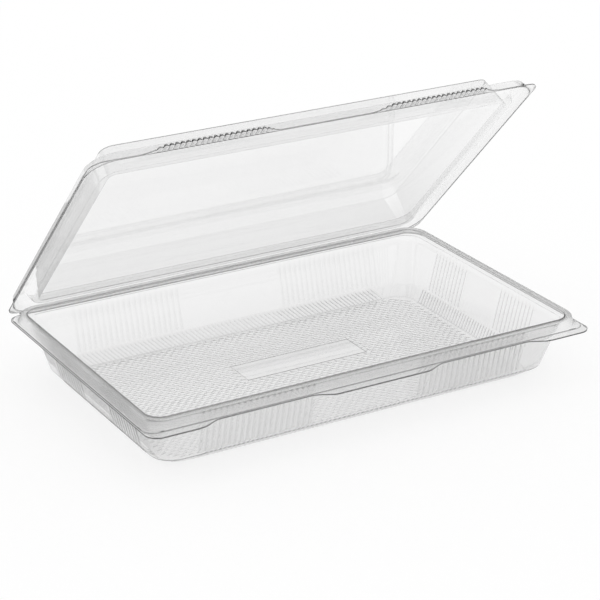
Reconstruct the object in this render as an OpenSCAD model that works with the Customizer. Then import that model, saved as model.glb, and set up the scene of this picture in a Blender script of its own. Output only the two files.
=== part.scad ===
// Clear hinged clamshell food pack: a fluted tray and a domed lid formed from one thin sheet.
// The origin is the centre of the tray's underside. The hinge runs along the back, +Y.

/* [Pack] */
// Length of the closed pack along its hinge
pack_w = 260; // [220:1:320]
// Depth of the closed pack from hinge to front, without the tabs
pack_d = 166; // [140:1:210]
// Thickness of the formed sheet
sheet = 0.4; // [0.3:0.05:0.6]
// Angle by which the lid stands open: 0 closed, 180 laid flat
lid_open = 46; // [0:1:180]

/* [Tray] */
// Height of the flange above the surface that the tray stands on
tray_h = 30; // [24:0.5:45]
// Inset of the flat floor from the pack's edge
floor_inset = 20.4; // [18:0.2:24]
// Inset of the wall's foot, where it turns in towards the floor
foot_inset = 14; // [12:0.2:16]
// Height of the wall's foot
foot_h = 5.1; // [3:0.1:8]
// Inset of the wall's top, under the rim
wall_inset = 7.6; // [7.4:0.1:9]
// Height of the raised rim above the flange
rim_h = 4.5; // [3:0.1:6]
// Inset of the rim's root on the flange
rim_root = 1.2; // [1:0.1:1.6]
// Inset of the rim's outer top edge
rim_outer = 2.5; // [2:0.1:3]
// Inset of the rim's inner top edge
rim_inner = 6.3; // [5.8:0.1:6.6]
// Depth of the small step below the rim's top, where the fluted wall starts
step_drop = 2.8; // [2:0.1:3.2]

/* [Flutes] */
// Distance from one flute to the next
flute_pitch = 3; // [2:0.1:5]
// Depth of a flute
flute_depth = 0.8; // [0.4:0.05:1]
// Width of the plain panel in the middle of the front and back walls
plain_long = 62; // [20:1:90]
// Width of the plain panel in the middle of the side walls
plain_short = 31; // [10:1:45]

/* [Lid] */
// Height of the lid's panel above its flange
dome_h = 16.4; // [10:0.2:25]
// Inset of the panel's edge
dome_inset = 16.6; // [15.6:0.2:20]
// Inset of the dome wall's foot
dome_foot = 13.8; // [12:0.2:15]
// Depth to which the lid's plug ring reaches below the flange
plug_drop = 1; // [0.4:0.1:2]
// Slack between lid and tray where they nest
slack = 0.6; // [0.5:0.05:0.8]

/* [Tabs] */
// How far the tray's tabs stand out at the front
tab_out = 4.8; // [2:0.1:8]
// How far the lid's grip strips stand out at the front
grip_out = 4.4; // [2:0.1:8]
// Half width of the flat stretch of the centre tab
centre_tab = 26; // [15:1:35]
// Length of each corner tab's flat stretch, from the pack's end
corner_tab = 27; // [20:1:35]
// Length over which an edge swings from one width to the other
tab_blend = 13; // [6:1:18]
// Height of the lid's grip ribs
grip_rib = 0.7; // [0.3:0.1:1.2]

/* [Hidden] */

// Corner radii, from the floor up
floor_r = 10.5;
foot_r = 11.5;
wall_r = 9.5;
rim_inner_r = 8.5;
rim_outer_r = rim_inner_r + rim_inner - rim_outer;
flange_r = 7;
dome_r = 6;
dome_foot_r = 4;
plug_r = 10;
// Bevel along the edges of the rim and the dome
bevel = 0.7;
// Gap between the two flanges when closed, and between each flange and the hinge line
parting = 0.3;
hinge_gap = 0.4;
// Width of the lip that runs all round outside the rim
lip = 0.4;
// Drop of a tab from its crease to its edge
tab_drop = 0.5;
// Length of plain wall between the last flute and the floor's corner
flute_clear = 1.6;
// Share of a flute's depth that is left where it runs out on the floor
floor_flute_share = 0.6;
// Steps in a corner's arc and in the swing of a tab's edge
ARC_STEPS = 9;
BLEND_STEPS = 6;
// Shares of a side's count: middle of a side, its reach to one end, and half a corner
side_mid_share = 0.5;
side_reach_share = 0.4;
corner_half_share = 0.1;
// One lap round a ring is counted as four sides and four corners
LAP = 8;

half_w = pack_w / 2;
half_d = pack_d / 2;
flange_z = tray_h - parting / 2;
lid_z = tray_h + parting / 2;
rim_z = flange_z + rim_h;
step_z = rim_z - step_drop;
step_fall = sheet / 2;
lid_rim_z = rim_z + slack + bevel / 2;
plug_z = lid_z - plug_drop;
// The plug ring stays clear of the fluted wall all the way down to its foot
wall_slope = (foot_inset - wall_inset) / (step_z - foot_h);
plug_top = wall_inset + slack;
plug_inset = wall_inset + wall_slope * (step_z - plug_z) + flute_depth + slack;
plug_top_r = wall_r - slack;
panel_z = lid_z + dome_h;
hinge_y = half_d + hinge_gap;
flute_margin = floor_inset + floor_r + flute_clear;
corner_at = half_w - corner_tab - tab_blend;

// Kinds of ring: plain, fluted on all sides, tabbed at the front, ribbed for grip at the front
PLAIN = 0;
FLUTED = 1;
TABBED = 2;
GRIP = 3;

// Eases from 0 to 1
function ease(t) = let (c = min(1, max(0, t))) c * c * (3 - 2 * c);

// 1 along the tray's three tabs, 0 along the stretches between them
function tab_share(x) =
    max(1 - ease((abs(x) - centre_tab) / tab_blend), ease((abs(x) - corner_at) / tab_blend));

function both_ways(list) = concat([for (i = [len(list) - 1:-1:0]) -list[i]], list);

// Places of the flutes' ridges and hollows along a side of a given half length
function flute_places(half, plain) =
    let (count = floor((half - flute_margin - plain / 2) / flute_pitch))
    [for (i = [0:2 * count]) plain / 2 + i * flute_pitch / 2];

// Places that draw the swing of the tabs' edge
function tab_places() = concat(
    [for (i = [0:BLEND_STEPS]) centre_tab + i * tab_blend / BLEND_STEPS],
    [for (i = [0:BLEND_STEPS]) corner_at + i * tab_blend / BLEND_STEPS]);

// Places of the grip ribs, which cover the stretches between the tabs
function grip_places() =
    let (reach = corner_at + tab_blend - centre_tab, count = 2 * floor(reach / flute_pitch))
    [for (i = [0:count]) centre_tab + i * reach / count];

// Places along side k of a ring, counted from the side's middle
function places(kind, k) =
    kind == FLUTED && k % 2 == 0 ? both_ways(flute_places(half_w, plain_long))
    : kind == FLUTED ? both_ways(flute_places(half_d, plain_short))
    : kind == TABBED && k == 0 ? both_ways(tab_places())
    : kind == GRIP && k == 0 ? both_ways(grip_places())
    : [];

function turned(k, p) = k == 0 ? p : k == 1 ? [-p.y, p.x] : k == 2 ? -p : [p.y, -p.x];

// A stop of the section: inset, height, corner radius, kind of ring, size of its pattern, rise of its ribs
function stop(inset, z, r, kind = PLAIN, size = 0, rise = 0) = [inset, z, r, kind, size, rise];

// Points of side k, each with its count round the lap
function side_points(s, k) =
    let (half = k % 2 == 0 ? half_w : half_d, out = k % 2 == 0 ? half_d : half_w, list = places(s[3], k))
    [for (i = [0:1:len(list) - 1])
        let (x = list[i], odd = i % 2,
             push = s[3] == FLUTED ? -s[4] * odd
                  : s[3] == TABBED ? s[4] * tab_share(x)
                  : s[4] * (1 - tab_share(x)),
             rise = s[3] == GRIP ? s[5] * odd * (1 - tab_share(x))
                  : s[3] == TABBED ? -s[5] * tab_share(x)
                  : 0,
             p = turned(k, [x, s[0] - out - push]))
        [2 * k + side_mid_share + side_reach_share * x / half, [p.x, p.y, s[1] + rise]]];

// Points of the corner after side k
function corner_points(s, k) =
    let (half = k % 2 == 0 ? half_w : half_d, out = k % 2 == 0 ? half_d : half_w,
         c = [half - s[0] - s[2], s[0] + s[2] - out],
         front = s[3] == TABBED && (k == 0 || k == 3))
    [for (i = [0:ARC_STEPS])
        let (a = 90 * (i / ARC_STEPS - 1), p = turned(k, c + s[2] * [cos(a), sin(a)]))
        [2 * k + 1 + corner_half_share * (2 * i / ARC_STEPS - 1),
         [p.x, p.y - (front ? s[4] : 0), s[1] - (front ? s[5] : 0)]]];

function ring(s) = [for (k = [0:3]) each concat(side_points(s, k), corner_points(s, k))];

// The section moved sideways by the sheet's thickness: up for t above 0, down for t below 0
function away(a, b) = let (d = [a[0] - b[0], b[1] - a[1]]) [-d.y, d.x] / norm(d);
function moved(path, t) =
    [for (i = [0:len(path) - 1])
        let (s = path[i],
             n1 = i == 0 ? [0, 1] : away(path[i - 1], s),
             n2 = i == len(path) - 1 ? [0, 1] : away(s, path[i + 1]),
             m = i == len(path) - 1 ? [0, t] : t * (n1 + n2) / (1 + n1 * n2))
        [s[0] - m.x, s[1] + m.y, s[2] + m.x, s[3], s[4], s[5]]];

function backwards(list) = [for (i = [len(list) - 1:-1:0]) list[i]];

// Triangles between two rings, which may have different numbers of points
function lap(r, i) = i < len(r) ? r[i][0] : r[0][0] + LAP;
function first_moves(a, b, i, j) = j >= len(b) || (i < len(a) && lap(a, i + 1) <= lap(b, j + 1));
function band(a, b, a0, b0) =
    [for (i = 0, j = 0, go = first_moves(a, b, 0, 0);
          i < len(a) || j < len(b);
          i = i + (go ? 1 : 0), j = j + (go ? 0 : 1), go = first_moves(a, b, i, j))
        go ? [a0 + i % len(a), a0 + (i + 1) % len(a), b0 + j % len(b)]
           : [a0 + i % len(a), b0 + (j + 1) % len(b), b0 + j % len(b)]];

// Closed skin through a list of section stops, from the middle of the upper face to that of the lower
module skin(stops) {
    rings = [for (s = stops) ring(s)];
    last = len(rings) - 1;
    at = [for (i = 0, sum = 0; i <= last; sum = sum + len(rings[i]), i = i + 1) sum];
    points = [for (r = rings) each [for (p = r) p[1]]];
    top = len(points);
    base = top + 1;
    first_n = len(rings[0]);
    last_n = len(rings[last]);
    polyhedron(
        points = concat(points, [[0, 0, stops[0][1]], [0, 0, stops[last][1]]]),
        faces = concat(
            [for (i = [0:first_n - 1]) [top, at[0] + (i + 1) % first_n, at[0] + i]],
            [for (i = [0:last - 1]) each band(rings[i], rings[i + 1], at[i], at[i + 1])],
            [for (i = [0:last_n - 1]) [base, at[last] + i, at[last] + (i + 1) % last_n]]));
}

// Inside face of the tray, from the floor up the fluted wall, over the rim and out to the tabs
tray_path = [
    stop(floor_inset, sheet, floor_r, FLUTED, flute_depth * floor_flute_share),
    stop(foot_inset, foot_h, foot_r, FLUTED, flute_depth),
    stop(wall_inset, step_z - step_fall, wall_r, FLUTED, flute_depth),
    stop((wall_inset + rim_inner) / 2, step_z, rim_inner_r),
    stop(rim_inner, rim_z - bevel, rim_inner_r),
    stop(rim_inner - bevel, rim_z, rim_inner_r + bevel),
    stop(rim_outer + bevel, rim_z, rim_outer_r - bevel),
    stop(rim_outer, rim_z - bevel, rim_outer_r),
    stop(rim_root, flange_z, rim_outer_r + rim_outer - rim_root),
    stop(lip, flange_z, flange_r, TABBED, 0),
    stop(0, flange_z, flange_r, TABBED, tab_out, tab_drop)
];

// Inside face of the closed lid, from the panel down the dome to the plug ring, over the rim and out
lid_path = [
    stop(dome_inset + bevel, panel_z - sheet, dome_r - bevel),
    stop(dome_inset, panel_z - sheet - bevel, dome_r),
    stop(dome_foot, plug_z, dome_foot_r),
    stop(plug_inset, plug_z, plug_r),
    stop(plug_top, lid_rim_z - bevel, plug_top_r),
    stop(plug_top - bevel, lid_rim_z, plug_top_r + bevel),
    stop(rim_outer - slack + bevel, lid_rim_z, rim_outer_r + slack - bevel),
    stop(rim_outer - slack, lid_rim_z - bevel, rim_outer_r + slack),
    stop(rim_root - slack, lid_z, rim_outer_r + rim_outer - rim_root + slack),
    stop(rim_root - slack - sheet, lid_z, rim_outer_r + rim_outer - rim_root + slack, GRIP, 0),
    stop(rim_root - slack - sheet - lip, lid_z, flange_r, GRIP, grip_out, grip_rib)
];

module tray() {
    color("aliceblue", 0.45) skin(concat(tray_path, backwards(moved(tray_path, -sheet))));
}

module lid() {
    color("lightcyan", 0.45)
        translate([0, hinge_y, tray_h])
            rotate([-lid_open, 0, 0])
                translate([0, -hinge_y, -tray_h])
                    skin(concat(moved(lid_path, sheet), backwards(lid_path)));
}

tray();
lid();
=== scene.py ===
# %% [markdown]
# A clear hinged clamshell pack, formed from one thin sheet of plastic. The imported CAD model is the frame
# that everything here is built on: it says where the tray and the lid are and how the lid turns. This
# script draws the same sheet again with finer flutes, rounded bends and a knurled floor, and gives it its
# clear finish.

import math

import bmesh
import bpy
import numpy as np
from mathutils import Matrix, Vector


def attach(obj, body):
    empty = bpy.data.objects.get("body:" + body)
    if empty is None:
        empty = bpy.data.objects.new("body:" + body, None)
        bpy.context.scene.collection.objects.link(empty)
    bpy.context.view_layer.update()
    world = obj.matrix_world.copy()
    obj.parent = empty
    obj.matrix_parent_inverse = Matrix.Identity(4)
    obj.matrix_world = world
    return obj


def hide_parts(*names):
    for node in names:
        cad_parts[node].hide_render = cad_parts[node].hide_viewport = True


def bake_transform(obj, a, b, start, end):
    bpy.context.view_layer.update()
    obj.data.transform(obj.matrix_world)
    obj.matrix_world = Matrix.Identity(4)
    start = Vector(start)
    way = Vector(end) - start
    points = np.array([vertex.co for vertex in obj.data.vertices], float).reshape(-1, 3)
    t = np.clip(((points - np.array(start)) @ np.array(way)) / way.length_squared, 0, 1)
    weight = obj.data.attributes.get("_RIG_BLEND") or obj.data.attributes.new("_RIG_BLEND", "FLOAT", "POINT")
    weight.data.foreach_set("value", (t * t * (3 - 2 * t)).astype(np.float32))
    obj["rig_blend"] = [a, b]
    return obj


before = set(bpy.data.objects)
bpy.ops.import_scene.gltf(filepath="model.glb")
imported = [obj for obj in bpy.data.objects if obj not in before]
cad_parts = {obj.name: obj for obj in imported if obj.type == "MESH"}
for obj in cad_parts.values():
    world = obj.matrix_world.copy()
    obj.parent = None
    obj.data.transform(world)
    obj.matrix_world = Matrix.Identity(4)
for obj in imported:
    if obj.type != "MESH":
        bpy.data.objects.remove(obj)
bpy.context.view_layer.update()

# %% [markdown]
# The camera stands in front of the pack, to its left and a little above, far enough away for a long lens.
# The direction from the pack to the camera is kept as a vector, and the camera's own Z axis is turned along
# it.

# %% Camera
turn, tilt = math.radians(-30.341), math.radians(22.654)
aim, distance = Vector((0.002606, 0, 0.041513)), 1.14203
to_camera = Vector(
    (math.sin(turn) * math.cos(tilt), -math.cos(turn) * math.cos(tilt), math.sin(tilt))
)
camera = bpy.data.objects.new("camera", bpy.data.cameras.new("camera"))
camera.data.sensor_width = 36
camera.data.lens = 129.38
camera.location = aim + distance * to_camera
camera.rotation_euler = to_camera.to_track_quat("Z", "Y").to_euler()
bpy.context.scene.collection.objects.link(camera)
bpy.context.scene.camera = camera
print("camera", [round(v, 3) for v in camera.location])

# %% [markdown]
# A thermoformed pack is a sheet drawn over a mould, so each half is one surface. It can be described as a
# section that runs from the middle of the floor outwards, and a plan that the section is swept round: a
# rectangle with rounded corners. Each stop of the section gives its inset from the pack's edge, its height
# and the plan's corner radius there, how strongly the flutes, the tabs or the grip strips show, how thick
# and frosted the sheet is drawn, and how much painted shade darkens its colour. Lengths are in millimetres.

# %% Stops of a section, with their bends rounded
MM = 0.001
HALF_W, HALF_D = 130.0, 83.0
SHEET = 0.4
BEND_LIMIT, WIDE_BEND = 0.48, 0.5


def stop(
    inset, height, corner, bend=0.0, flute=0.0, hatch=0.0, lean=0.0,
    tab=0.0, grip=0.0, gauge=SHEET, haze=0.0, painted_shade=0.0,
):
    """One stop of a section. bend is how far from it the rounding of its corner starts."""
    row = [inset, height, corner, flute, hatch, lean, tab, grip, gauge, haze, painted_shade]
    return np.array(row), bend


def rounded(stops):
    """The section's rows, with a short curve in place of each corner, of four points or three."""
    rows = [stops[0][0]]
    for (before, _), (here, bend), (after, _) in zip(stops, stops[1:], stops[2:]):
        if bend == 0:
            rows.append(here)
            continue
        start, end = (
            here + (p - here) * min(bend / np.linalg.norm((p - here)[:2]), BEND_LIMIT)
            for p in (before, after)
        )
        for t in np.linspace(0, 1, 4 if bend >= WIDE_BEND else 3):
            rows.append((1 - t) ** 2 * start + 2 * t * (1 - t) * here + t * t * end)
    rows.append(stops[-1][0])
    return np.array(rows)


# %% [markdown]
# Along each side the wall is fluted, apart from a plain panel in the middle and the plain corners, and the
# foot of the wall has a finer hatch that leans to one side. All rings of a surface get the same number of
# points, so that neighbouring rings join into plain quads. A flute is a narrow groove with a smooth bottom,
# drawn with five points. It is also drawn thicker than the wall round it. A real flute isn't, but without
# that it would hardly show in a picture of this size.

# %% Places of the points along the sides
FLUTE_PITCH, FLUTE_POINTS, FLUTE_END, HATCH_POINTS = 3.27, 5, 32.5, 4
PLAIN_LONG, PLAIN_SHORT = 62, 31


def groove(turns):
    """0 between two grooves and 1 in the middle of each."""
    return (0.5 - 0.5 * np.cos(2 * np.pi * turns)) ** 2


def side_places(plain, half):
    """Places along a side, counted from its middle, and there the waves of the flutes and of the hatch."""
    start = plain / 2
    count = int((half - FLUTE_END - start) // FLUTE_PITCH)
    fine = start + np.arange(count * FLUTE_POINTS + 1) * FLUTE_PITCH / FLUTE_POINTS
    even = np.linspace(0, start, round(start / FLUTE_PITCH) * FLUTE_POINTS + 1)[:-1]
    x = np.concatenate([even, fine])
    flutes = np.where(x > start, groove((x - start) / FLUTE_PITCH), 0)
    x, flutes = np.concatenate([-x[:0:-1], x]), np.concatenate([flutes[:0:-1], flutes])
    return x, flutes, groove(np.arange(len(x)) / HATCH_POINTS)


SIDES = [side_places(PLAIN_LONG, HALF_W), side_places(PLAIN_SHORT, HALF_D)]
print("points along a long and a short side:", [len(side[0]) for side in SIDES])

# %% [markdown]
# The front edges of the tray and of the lid are cut to swing in and out. The tray stands out in the middle
# and at both corners, and the lid in the two stretches between, where it has ribs to grip it by. So a
# finger always finds one edge without the other. The gains say how much thicker than the rest flutes, hatch
# and ribs are drawn.

# %% The swing of the front edges
EXTRA_POINTS, ARC_POINTS = 6, 13
CENTRE_TAB, CORNER_TAB, TAB_BLEND = 26, 90, 13
RIB_PITCH, RIB_RISE, RIB_GAIN = 3.0, 0.7, 0.5
FLUTE_GAIN_SHARE, HATCH_GAIN_SHARE = 0.55, 1.65
# Painted shade on the grip ribs: their colour is darkened, most along their crests.
RIB_PAINTED_SHADE = 0.25


def swing(t):
    """Eases from 0 to 1."""
    t = np.clip(t, 0, 1)
    return t * t * (3 - 2 * t)


def tab_share(x):
    """1 along the tray's three tabs, 0 along the stretches between them."""
    inner, outer = ((np.abs(x) - start) / TAB_BLEND for start in (CENTRE_TAB, CORNER_TAB))
    return np.maximum(1 - swing(inner), swing(outer))


def lap(rows):
    """The rings of a section swept round the pack, and the gauge, haze and painted shade of each point."""
    inset, height, corner, flute, hatch, lean, tab, grip, gauge, haze, painted_shade = (
        rows[:, [i]] for i in range(rows.shape[1])
    )
    none = 0 * inset
    rings, traits = [], []
    for k in range(4):
        half, out = (HALF_W, HALF_D) if k % 2 == 0 else (HALF_D, HALF_W)
        x, flutes, hatches = SIDES[k % 2]
        start, end = x[-1] + lean, lean - SIDES[1 - k % 2][0][-1]
        middle_x, middle_y = half - inset - corner, inset + corner - out
        t = np.linspace(0, 1, EXTRA_POINTS + 2)[1:-1]
        a = np.linspace(-np.pi / 2, 0, ARC_POINTS)
        side = x + lean, inset - out + flute * flutes + hatch * hatches
        before = start + t * (middle_x - start), inset - out + none * t
        arc = middle_x + corner * np.cos(a), middle_y + corner * np.sin(a)
        after = half - inset + none * t, middle_y + t * (end - middle_y)
        along, across = (np.hstack(part) for part in zip(side, before, arc, after))
        px, py = [(along, across), (-across, along), (-along, -across), (across, -along)][k]
        sizes = [len(x), EXTRA_POINTS, ARC_POINTS, EXTRA_POINTS]
        blank = [np.zeros((len(rows), n)) for n in sizes]
        full = np.ones((len(rows), ARC_POINTS))
        cuts = np.cumsum(sizes)[:-1]
        part_x = np.split(px, cuts, axis=1)
        tabs, grips = list(blank), list(blank)
        if k == 0:
            tabs = [tab_share(part_x[0]), tab_share(part_x[1]), full, 1 - t + none]
            grips = [1 - tab_share(part_x[0]), 1 - tab_share(part_x[1]), blank[2], blank[3]]
        if k == 3:
            tabs = [blank[0], t + none, full, tab_share(part_x[3])]
            grips = [blank[0], blank[1], blank[2], 1 - tab_share(part_x[3])]
        tabs, grips = np.hstack(tabs), np.hstack(grips)
        ribs = 0.5 - 0.5 * np.cos(2 * np.pi * px / RIB_PITCH)
        py = py - tab * tabs - grip * grips
        ribs = np.minimum(grip, 1) * grips * ribs
        pz = height + RIB_RISE * ribs
        rings.append(np.stack([px, py, pz + 0 * px], axis=-1))
        gain = FLUTE_GAIN_SHARE * flute * flutes + HATCH_GAIN_SHARE * hatch * hatches
        thick = gauge + RIB_GAIN * ribs + np.hstack([gain, *blank[1:]])
        # Painted shade: dark lines at the bends, and the grip ribs darkened on top of them.
        dark = painted_shade + RIB_PAINTED_SHADE * ribs
        traits.append(np.stack([thick, haze + 0 * px, dark], axis=-1))
    return np.concatenate(rings, axis=1), np.concatenate(traits, axis=1)


# %% [markdown]
# The tray's upper face, from the floor's edge up the chamfer and the fluted wall, over a small step and the
# raised rim, and out along the flange to the tabs. Insets and heights follow the CAD model, with softer
# bends and a crease at the lip. The flutes differ from it: they stand 3.27 mm apart, as measured on the
# photograph, where the CAD has 3, are a little shallower, and fade out below the rim, so that they don't
# show through it.

# %% The tray's section
RIM_HAZE, RIM_GAUGE, EDGE_GAUGE, FLUTE_DEPTH = 0.19, 0.22, 0.6, 0.6
# Painted shade: dark lines in the colour at the bends and along the foot, for dark things the sheet mirrors.
tray_rows = rounded(
    [
        stop(21.6, 0.4, 9.4),
        stop(21.0, 0.4, 9.9),
        stop(20.4, 0.4, 10.5, 0.2, hatch=0.08, painted_shade=0.15),
        stop(20.0, 0.7, 10.6, hatch=0.2, lean=0.3, painted_shade=0.04),
        stop(14.0, 5.1, 11.5, 0.8, hatch=0.3, lean=4.7, painted_shade=0.04),
        stop(13.85, 5.7, 11.4, lean=4.7),
        stop(13.75, 6.1, 11.4),
        stop(13.5, 7.1, 11.4, flute=FLUTE_DEPTH),
        stop(8.54, 27.5, 9.8, flute=FLUTE_DEPTH),
        stop(7.6, 31.35, 9.5),
        stop(6.95, 31.55, 8.5, 0.35),
        stop(6.45, 33.7, 8.5),
        stop(6.3, 34.35, 8.5, 0.3, haze=0.1, painted_shade=0.6),
        stop(5.6, 34.35, 9.2, gauge=RIM_GAUGE, haze=RIM_HAZE),
        stop(2.5, 34.35, 12.3, 0.8, gauge=RIM_GAUGE, haze=RIM_HAZE),
        stop(1.2, 29.85, 13.6, 0.4, gauge=RIM_GAUGE, haze=RIM_HAZE),
        stop(0.6, 29.85, 8.0, 0.1),
        stop(0.4, 29.4, 7.0, 0.1, painted_shade=0.6),
        stop(0.35, 29.4, 7.0, tab=0.4),
        stop(0.05, 29.4, 7.0, tab=4.2),
        stop(0.0, 29.4, 7.0, tab=4.8, gauge=EDGE_GAUGE, painted_shade=0.9),
    ]
)
tray_rings, tray_traits = lap(tray_rows)
print("tray rings, points and axes:", tray_rings.shape)

# %% [markdown]
# The floor is knurled with small diamonds, which stiffen it and let air under the food, and carries a bare
# raised plate. A grid of points does both. Every other point is raised into a diamond's top. Every other
# square is split along one diagonal, and the squares between get a middle point, a notch, that is lower
# than the tops beside it. So the rows run more strongly one way than the other, as in the photograph. A
# bump texture would be lighter, but real facets bend and mirror light as the moulded ones do.

# %% Knurled floor
KNURL_X, KNURL_Y, KNURL_RISE, NOTCH_SHARE = 2.33, 2.33, 0.28, 0.58
KNURL_INSET, KNURL_CORNER = 22.3, 8.8
PLATE = (-12, 1, 20, 10)
PLATE_RISE, PLATE_EDGE = 0.35, 0.45


def inside(x, y, inset, corner):
    """True inside a rounded rectangle of that inset."""
    dx = max(abs(x) - (HALF_W - inset - corner), 0)
    dy = max(abs(y) - (HALF_D - inset - corner), 0)
    return math.hypot(dx, dy) <= corner


def grid_cells(step_x, step_y, inset, corner):
    """The grid squares that fit inside a rounded rectangle, by their lower left point's counts."""
    nx, ny = int(HALF_W / step_x) + 1, int(HALF_D / step_y) + 1
    return [
        (i, j)
        for i in range(-nx, nx)
        for j in range(-ny, ny)
        if all(
            inside(step_x * (i + u), step_y * (j + v), inset, corner)
            for u in (0, 1)
            for v in (0, 1)
        )
    ]


def open_edges(points):
    """The edges between these points that have a face on one side only."""
    points = set(points)
    return {
        edge
        for point in points
        for edge in point.link_edges
        if len(edge.link_faces) == 1 and edge.other_vert(point) in points
    }


def strip(bm, edges, up):
    """Fills the flat strip between two loops of edges, with all its faces turned one way."""
    made = bmesh.ops.triangle_fill(bm, use_beauty=True, edges=list(edges), normal=(0, 0, up))
    faces = [f for f in made["geom"] if isinstance(f, bmesh.types.BMFace)]
    for face in faces:
        face.normal_update()
        if face.normal.z * up < 0:
            face.normal_flip()
    return faces


def knurl(bm, rim, z):
    """The floor inside the rim's ring of points: diamonds all over, apart from the plate."""
    cells = set(grid_cells(KNURL_X, KNURL_Y, KNURL_INSET, KNURL_CORNER))
    i0, j0, i1, j1 = PLATE
    plate = {(i, j) for i in range(i0, i1) for j in range(j0, j1)}
    cells -= plate
    spots = {(i + u, j + v) for i, j in cells for u in (0, 1) for v in (0, 1)}

    def rise(i, j):
        around = [(i - 1, j - 1), (i - 1, j), (i, j - 1), (i, j)]
        top = (i + j) % 2 == 1 and all(c in cells for c in around)
        return KNURL_RISE if top else 0

    verts = {
        (i, j): bm.verts.new((i * KNURL_X * MM, j * KNURL_Y * MM, (z + rise(i, j)) * MM))
        for i, j in sorted(spots)
    }
    for i, j in sorted(cells):
        a, b, c, d = (verts[p] for p in ((i, j), (i + 1, j), (i + 1, j + 1), (i, j + 1)))
        if (i + j) % 2 == 0:
            threes = (a, b, c), (a, c, d)
        else:
            notch = rise(i, j) * rise(i + 1, j + 1) / KNURL_RISE * NOTCH_SHARE
            middle = (i + 0.5) * KNURL_X * MM, (j + 0.5) * KNURL_Y * MM, (z + notch) * MM
            e = bm.verts.new(middle)
            threes = (a, b, e), (b, c, e), (c, d, e), (d, a, e)
        for three in threes:
            bm.faces.new(three)
    loop = (
        [(i, j0) for i in range(i0, i1)]
        + [(i1, j) for j in range(j0, j1)]
        + [(i, j1) for i in range(i1, i0, -1)]
        + [(i0, j) for j in range(j1, j0, -1)]
    )

    def pulled_in(n, start, end, step):
        return min(max(n * step, start * step + PLATE_EDGE), end * step - PLATE_EDGE) * MM

    low = [verts[p] for p in loop]
    high = [
        bm.verts.new(
            (pulled_in(i, i0, i1, KNURL_X), pulled_in(j, j0, j1, KNURL_Y), (z + PLATE_RISE) * MM)
        )
        for i, j in loop
    ]
    for n in range(len(low)):
        m = (n + 1) % len(low)
        bm.faces.new((low[n], low[m], high[m], high[n]))
    bm.faces.new(high)
    strip(bm, open_edges(verts.values()) | open_edges(rim), 1)
    return len(cells)


# %% [markdown]
# Rings become quads, and a Solidify modifier gives the surface the thickness of the sheet, on the side away
# from the face that was drawn. A clear solid needs both of its faces: light bends once on the way in and
# once on the way out, and only so do flat panes look calm while tight bends turn dark.

# %% From rings to a sheet
def new_sheet():
    """An empty surface whose points carry the gauge of the sheet, its haze and its painted shade."""
    bm = bmesh.new()
    bm.verts.layers.deform.verify()
    bm.verts.layers.float.new("haze")
    bm.verts.layers.float.new("painted_shade")
    return bm


def loft(bm, rings, traits, up):
    """Quads between neighbouring rings, facing up or down. Returns the rings of vertices."""
    gauge = bm.verts.layers.deform.active
    haze, painted_shade = (bm.verts.layers.float[name] for name in ("haze", "painted_shade"))
    made = [[bm.verts.new(p) for p in ring * MM] for ring in rings]
    for ring, ring_traits in zip(made, traits):
        for vert, trait in zip(ring, ring_traits):
            vert[gauge][0], vert[haze], vert[painted_shade] = trait
    for a, b in zip(made, made[1:]):
        for i in range(len(a)):
            j = (i + 1) % len(a)
            quad = (a[i], b[i], b[j], a[j])
            bm.faces.new(quad if up > 0 else quad[::-1]).smooth = True
    return made


def sheet_piece(bm, name, body, node, pose=None):
    """A piece from a finished surface, as thick as its gauge, riding on a body in place of a node."""
    if pose is not None:
        bmesh.ops.transform(bm, matrix=pose, verts=bm.verts)
    for edge in bm.edges:
        edge.smooth = len(edge.link_faces) == 2
    gauge = bm.verts.layers.deform.active
    for vert in bm.verts:
        if 0 not in vert[gauge]:
            vert[gauge][0] = SHEET
    mesh = bpy.data.meshes.new(name)
    bm.to_mesh(mesh)
    bm.free()
    piece = bpy.data.objects.new(name, mesh)
    bpy.context.scene.collection.objects.link(piece)
    piece.vertex_groups.new(name="gauge")
    thick = piece.modifiers.new("sheet", "SOLIDIFY")
    thick.thickness, thick.offset = MM, -1
    thick.vertex_group, thick.thickness_vertex_group = "gauge", 0
    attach(piece, body)
    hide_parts(node)
    return piece


bm = new_sheet()
tray_verts = loft(bm, tray_rings, tray_traits, 1)
diamonds = knurl(bm, tray_verts[0], SHEET)
tray_piece = sheet_piece(bm, "tray_sheet", "tray", "tray")
print("tray faces:", len(tray_piece.data.polygons), "knurl squares:", diamonds)
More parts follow.
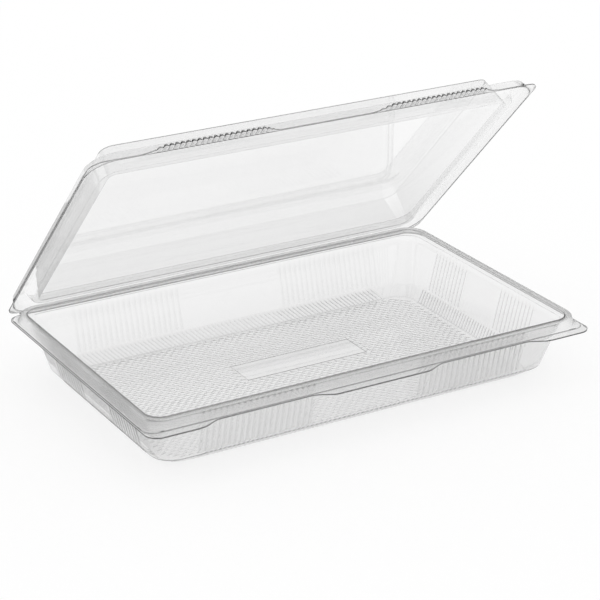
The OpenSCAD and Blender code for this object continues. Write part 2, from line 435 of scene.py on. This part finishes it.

# %% [markdown]
# The lid is drawn shut, from the inside of its panel down the dome to the plug ring that sits in the tray's
# mouth, over the channel that caps the tray's rim, and out to the grip strips. Then the whole surface is
# turned open about the hinge line, by the angle at which the CAD model rests. The panel is slightly hollow,
# because a large formed panel never cools quite flat, and that keeps its reflections alive. The lid is
# drawn thinner than the CAD's sheet, and its dome a little thicker towards the hinge, where painted shade
# also darkens the colour of its walls, to bring its greys near those of the photograph. Painted shade
# draws dark lines too: at the panel's edge, strongest along the front, at the lip and at the grip strips'
# edge.

# %% Lid
HINGE_Y, HINGE_Z, LID_OPEN = 83.4, 30.0, 46.0
PANEL_Z, PANEL_SAG, PANEL_RING, DRAWN = 46.15, 0.8, 19.2, 0.18
GRID_X, GRID_Y, GRID_INSET, GRID_CORNER = 8.0, 7.0, 20.4, 8.0
HINGE_GAIN, DOME_PAINTED_SHADE, DOME_START, DOME_END = 0.15, 0.15, 13, 16.55
FRONT_Y, SIDE_LINE_SHARE = -60, 0.25
lid_rows = rounded(
    [
        stop(PANEL_RING, PANEL_Z, 3.4, gauge=DRAWN),
        stop(17.0, PANEL_Z, 5.6, gauge=DRAWN),
        stop(16.6, PANEL_Z, 6.0, 0.2, gauge=DRAWN, painted_shade=0.8),
        stop(16.5, 45.55, 5.9, gauge=DRAWN),
        stop(13.8, 29.15, 4.0, 0.5, gauge=DRAWN),
        stop(9.56, 29.15, 10.0, 0.6, gauge=DRAWN),
        stop(8.2, 35.3, 8.9, 0.6, gauge=DRAWN),
        stop(1.9, 35.3, 12.9, 0.8, gauge=DRAWN),
        stop(0.6, 30.15, 14.2, 0.3),
        stop(0.2, 30.15, 14.2, 0.1, painted_shade=0.3),
        stop(0.15, 30.15, 12.0, grip=0.6),
        stop(-0.15, 30.15, 7.5, grip=4.0),
        stop(-0.2, 30.15, 7.0, grip=4.4, gauge=EDGE_GAUGE, painted_shade=0.5),
    ]
)


def panel(bm, rim, z):
    """The lid's panel inside the rim's ring of points, a little hollow."""
    cells = grid_cells(GRID_X, GRID_Y, GRID_INSET, GRID_CORNER)
    wide, deep = HALF_W - PANEL_RING, HALF_D - PANEL_RING
    spots = sorted({(i + u, j + v) for i, j in cells for u in (0, 1) for v in (0, 1)})
    edge = {
        p
        for p in spots
        if not all((p[0] - u, p[1] - v) in set(cells) for u in (0, 1) for v in (0, 1))
    }

    def height(i, j):
        u, v = i * GRID_X / wide, j * GRID_Y / deep
        return z - (0 if (i, j) in edge else PANEL_SAG * (1 - u * u) * (1 - v * v))

    verts = {
        (i, j): bm.verts.new((i * GRID_X * MM, j * GRID_Y * MM, height(i, j) * MM)) for i, j in spots
    }
    gauge = bm.verts.layers.deform.active
    for vert in verts.values():
        vert[gauge][0] = DRAWN
    for i, j in cells:
        quad = [verts[p] for p in ((i, j), (i, j + 1), (i + 1, j + 1), (i + 1, j))]
        bm.faces.new(quad).smooth = True
    for face in strip(bm, open_edges(verts.values()) | open_edges(rim), -1):
        face.smooth = True


hinge = Vector((0, HINGE_Y * MM, HINGE_Z * MM))
open_lid = (
    Matrix.Translation(hinge)
    @ Matrix.Rotation(math.radians(-LID_OPEN), 4, "X")
    @ Matrix.Translation(-hinge)
)
bm = new_sheet()
lid_verts = loft(bm, *lap(lid_rows), -1)
panel(bm, lid_verts[0], PANEL_Z)
gauge, painted_shade = bm.verts.layers.deform.active, bm.verts.layers.float["painted_shade"]
# Painted shade: the panel's edge line is kept whole at the front only; the dome's walls darken to the hinge.
for vert in bm.verts:
    x, y = abs(vert.co.x) / MM, vert.co.y / MM
    near = max(0.5 + 0.5 * y / HALF_D, 0) ** 2
    inset = min(HALF_W - x, HALF_D - abs(y))
    if inset > DOME_START:
        vert[gauge][0] += HINGE_GAIN * near
        vert[painted_shade] *= 1 if y < FRONT_Y else SIDE_LINE_SHARE
        vert[painted_shade] += DOME_PAINTED_SHADE * near if inset < DOME_END else 0
lid_piece = sheet_piece(bm, "lid_sheet", "lid", "lid", open_lid)
print("lid faces:", len(lid_piece.data.polygons))

# %% Hinge strip
HINGE_REACH, HINGE_FILM, HINGE_COLUMNS = 122.5, 0.12, 57
hinge_path = np.array(
    [
        (83.02, 29.66), (83.2, 29.67), (83.42, 29.74), (83.57, 29.88),
        (83.63, 30.06), (83.6, 30.24), (83.53, 30.37),
    ]
)
run = np.gradient(hinge_path, axis=0)
out = np.stack([run[:, 1], -run[:, 0]], axis=1) / np.linalg.norm(run, axis=1, keepdims=True)
hinge_loop = np.concatenate([hinge_path + HINGE_FILM * out, (hinge_path - HINGE_FILM * out)[::-1]])
bm = bmesh.new()
columns = [
    [bm.verts.new((x * MM, y * MM, z * MM)) for y, z in hinge_loop]
    for x in np.linspace(-HINGE_REACH, HINGE_REACH, HINGE_COLUMNS)
]
for left, right in zip(columns, columns[1:]):
    for n in range(len(hinge_loop)):
        m = (n + 1) % len(hinge_loop)
        bm.faces.new((left[n], left[m], right[m], right[n])).smooth = True
bm.faces.new(columns[0][::-1])
bm.faces.new(columns[-1])
bmesh.ops.recalc_face_normals(bm, faces=bm.faces)
mesh = bpy.data.meshes.new("hinge_strip")
bm.to_mesh(mesh)
bm.free()
hinge_piece = bpy.data.objects.new("hinge_strip", mesh)
bpy.context.scene.collection.objects.link(hinge_piece)
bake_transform(hinge_piece, "tray", "lid", (0, 0.0831, 0.0297), (0, 0.0835, 0.0303))
print("hinge strip faces:", len(mesh.polygons))

# %% [markdown]
# Shader maths is easier to read as Python expressions. This small class wraps a socket, so that adding or
# multiplying wrapped sockets adds Math nodes, and its node method makes any other node.

# %% A socket that does maths
class Socket:
    """An output socket of a node tree, with operators that add Math nodes."""

    def __init__(self, tree, out):
        self.tree, self.out = tree, out

    def node(self, kind, settings=None, links=None, out=0):
        """Another node in the same tree: its settings first, then the values or links of its sockets."""
        made = self.tree.nodes.new(kind)
        for name, value in (settings or {}).items():
            setattr(made, name, value)
        for name, value in (links or {}).items():
            if isinstance(value, Socket):
                self.tree.links.new(value.out, made.inputs[name])
            else:
                made.inputs[name].default_value = value
        return Socket(self.tree, made.outputs[out] if made.outputs else None)

    def maths(self, operation, a, b):
        return self.node("ShaderNodeMath", {"operation": operation}, {0: a, 1: b})

    def __add__(self, other):
        return self.maths("ADD", self, other)

    __radd__ = __add__

    def __mul__(self, other):
        return self.maths("MULTIPLY", self, other)

    __rmul__ = __mul__

    def __sub__(self, other):
        return self.maths("SUBTRACT", self, other)

    def __rsub__(self, other):
        return self.maths("SUBTRACT", other, self)

    def most(self, other):
        return self.maths("MAXIMUM", self, other)


def tree_of(owner):
    """A wrapped start for the emptied node tree of a material or a world."""
    owner.use_nodes = True
    owner.node_tree.nodes.clear()
    return Socket(owner.node_tree, None)


# %% [markdown]
# The sheet is clear polyester: colourless, glossy and a little denser to light than glass, with an IOR of
# 1.57. It is a Principled shader with full transmission. The draw of the mould leaves the sheet very
# slightly uneven, so its gloss varies a little, on a scale of centimetres. The haze kept at the points
# frosts the rim. The painted shade kept there darkens the base colour: thin dark lines at the bends,
# which a real sheet gets from the dark things it mirrors, and the grip ribs and the dome's walls. A dark
# volume greys the thicker places. It is stronger than in real polyester, so that the pack stands out from
# white paper.

# %% Clear sheet
clear = bpy.data.materials.new("clear_sheet")
start = tree_of(clear)
place = start.node("ShaderNodeTexCoord", out="Object")
cloud = start.node(
    "ShaderNodeTexNoise",
    {"noise_dimensions": "3D"},
    {"Vector": place, "Scale": 60.0, "Detail": 2.0},
    "Fac",
)
haze, painted_shade = (
    start.node("ShaderNodeAttribute", {"attribute_name": name}, out="Fac")
    for name in ("haze", "painted_shade")
)
# Painted shade: the base colour is darkened by the value kept at the points.
painted_shade_colour = start.node(
    "ShaderNodeCombineColor", {}, {name: 1 - painted_shade for name in ("Red", "Green", "Blue")}
)
sheet_shader = start.node(
    "ShaderNodeBsdfPrincipled",
    {},
    {
        "Base Color": painted_shade_colour,
        "Roughness": 0.02 + 0.03 * cloud + haze,
        "IOR": 1.57,
        "Transmission Weight": 1.0,
    },
)
smoke = start.node("ShaderNodeVolumeAbsorption", {}, {"Color": (0, 0, 0, 1), "Density": 200.0})
start.node("ShaderNodeOutputMaterial", {}, {"Surface": sheet_shader, "Volume": smoke})
for piece in (tray_piece, lid_piece, hinge_piece):
    piece.data.materials.append(clear)
print("clear sheet on", [p.name for p in (tray_piece, lid_piece, hinge_piece)])

# %% [markdown]
# The floor is a wide sheet of white paper under an even white sky. Most of its white is its own, for the
# camera and for what is seen in or through the clear sheet, and the rest is lit, so that it still takes the
# pack's faint shadow.

# %% Floor and sky
PAPER_GLOW, PAPER_GLOW_THROUGH = 0.8, 0.3
bpy.ops.mesh.primitive_plane_add(size=12, location=(0, 0, -0.0002))
floor = bpy.context.object
floor.name = "studio_floor"
paper = bpy.data.materials.new("studio_paper")
start = tree_of(paper)
by_camera, mirrored, through = (
    start.node("ShaderNodeLightPath", out=f"Is {kind} Ray")
    for kind in ("Camera", "Glossy", "Transmission")
)
seen = (PAPER_GLOW * by_camera.most(mirrored)).most(PAPER_GLOW_THROUGH * through)
lit = start.node("ShaderNodeBsdfDiffuse", {}, {"Color": (1, 1, 1, 1)})
glow = start.node("ShaderNodeEmission", {}, {"Color": (1, 1, 1, 1), "Strength": 1.0})
mixed = start.node("ShaderNodeMixShader", {}, {0: seen, 1: lit, 2: glow})
start.node("ShaderNodeOutputMaterial", {}, {"Surface": mixed})
floor.data.materials.append(paper)

world = bpy.data.worlds.new("studio")
bpy.context.scene.world = world
start = tree_of(world)
sky = start.node("ShaderNodeBackground", {}, {"Color": (1, 1, 1, 1), "Strength": 1.0})
start.node("ShaderNodeOutputWorld", {}, {"Surface": sky})
scene = bpy.context.scene
scene.view_settings.view_transform = "Standard"
scene.cycles.max_bounces = scene.cycles.transmission_bounces = 32
scene.cycles.glossy_bounces = 12

# %% [markdown]
# A clear thing on white shows only by what it mirrors. So, as in a real studio, grey cards stand round it
# outside the picture: the edges and curves that mirror them turn grey. Only mirrored rays see the cards.

# %% Grey cards
def card(name, middle, size, grey, aim=(0, 0, 0.05)):
    """A flat grey card, facing a point, that shows only in reflections."""
    bpy.ops.mesh.primitive_plane_add(size=1, location=middle)
    made = bpy.context.object
    made.name = name
    made.scale = (size[0], size[1], 1)
    made.rotation_euler = (Vector(aim) - Vector(middle)).to_track_quat("Z", "Y").to_euler()
    for kind in ("camera", "diffuse", "transmission", "volume_scatter", "shadow"):
        setattr(made, f"visible_{kind}", False)
    tone = bpy.data.materials.new(name)
    begin = tree_of(tone)
    matt = begin.node("ShaderNodeEmission", {}, {"Color": (grey, grey, grey, 1), "Strength": 1.0})
    begin.node("ShaderNodeOutputMaterial", {}, {"Surface": matt})
    made.data.materials.append(tone)


card("card_back", (0, 1.6, 0.6), (3.6, 1.6), 0.25)
card("card_left", (-1.6, 0, 0.6), (3.6, 1.6), 0.2)
card("card_right", (1.6, 0, 0.6), (3.6, 1.6), 0.3)
card("card_front", (0, -1.9, 0.6), (3.6, 1.6), 0.4)
card("card_top", (0, 0, 2.0), (2.4, 2.4), 0.8)
card("card_low", (-0.27, 0.1, 0.0003), (0.3, 0.8), 0.3, (-0.27, 0.1, 1))
